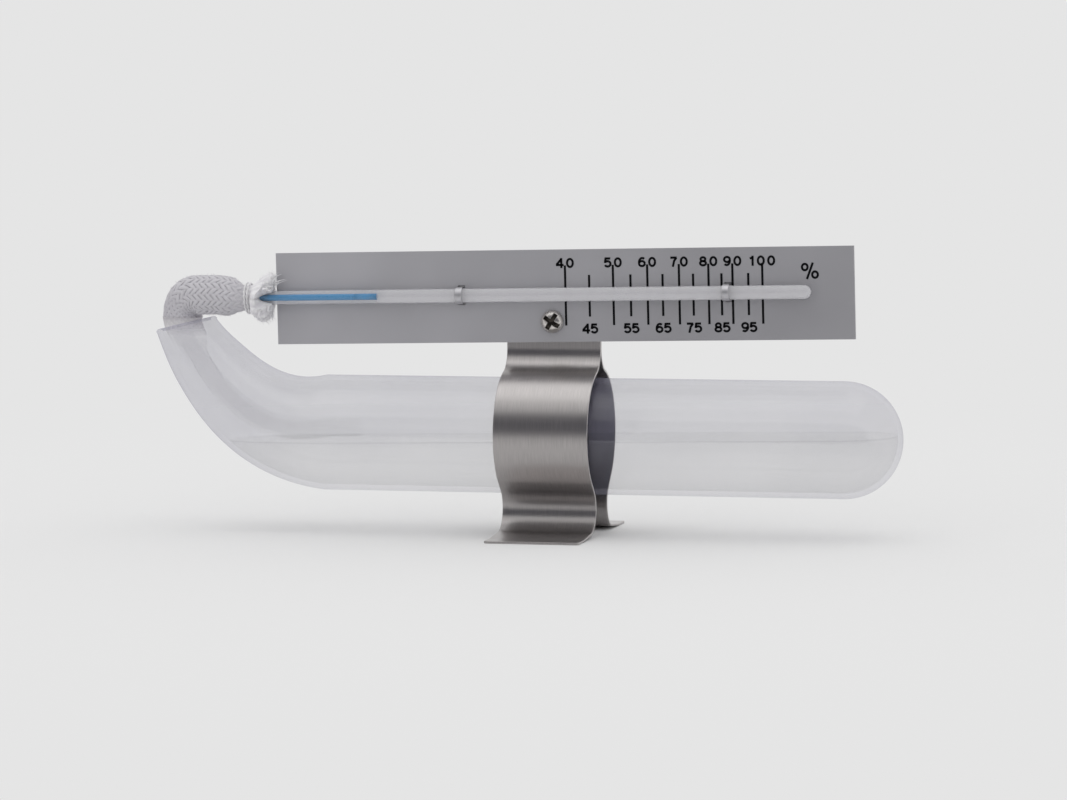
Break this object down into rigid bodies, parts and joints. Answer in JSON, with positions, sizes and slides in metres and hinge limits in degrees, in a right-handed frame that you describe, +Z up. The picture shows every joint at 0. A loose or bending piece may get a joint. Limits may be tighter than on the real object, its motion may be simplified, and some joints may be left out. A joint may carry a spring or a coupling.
{
  "type": "incubator thermometer",
  "caption": "Wet-bulb incubator thermometer: a scale plate with a spirit stem on a spring clip, over a bent glass water reservoir whose wick covers the bulb.",
  "frame": {"origin": "on the surface the clip's two lips stand on, under the middle of the overall box", "axes": "+X along the reservoir to its closed end, -Y towards the reader of the scale, +Z up"},
  "size_m": [0.1648, 0.045, 0.0624],
  "materials": {
    "spring_steel": "brushed stainless strip",
    "bright_steel": "bright nickel-plated steel",
    "plate_aluminium": "matt satin sheet with a black printed scale",
    "clear_glass": "clear borosilicate glass",
    "milky_glass": "white-backed thermometer glass",
    "blue_spirit": "blue-dyed spirit",
    "cotton": "braided white cotton",
    "water": "clear water"
  },
  "bodies": {
    "clip": {"front_jaw": "spring_steel", "rear_jaw": "spring_steel", "clip_screw": "bright_steel", "flat_washer": "bright_steel", "clip_nut": "bright_steel"},
    "scale": {"scale_plate": "plate_aluminium", "left_tie": "bright_steel", "right_tie": "bright_steel", "thermometer_glass": "milky_glass", "bulb_spirit": "blue_spirit", "spirit_column": "blue_spirit", "wick_sleeve": "cotton", "binding_thread": "cotton"},
    "spirit": {"column_head": "blue_spirit"},
    "reservoir": {"reservoir_tube": "clear_glass", "water": "water", "wick_tail": "cotton"}
  },
  "joints": [
    {"name": "scale_swivel", "type": "hinge", "parent": "clip", "child": "scale", "pos_m": [0.00679, 0, 0.04575], "axis": [0, 1, 0], "range_deg": [-0.9, 3], "deforming": ["wick_sleeve"]},
    {"name": "reservoir_slide", "type": "slide", "parent": "clip", "child": "reservoir", "axis": [1, 0, 0], "range_m": [-0.0025, 0.002], "deforming": ["wick_tail"]},
    {"name": "spirit_rise", "type": "slide", "parent": "scale", "child": "spirit", "axis": [0.9998, 0, 0.0194], "range_m": [-0.024, 0.0843], "deforming": ["spirit_column"]}
  ]
}
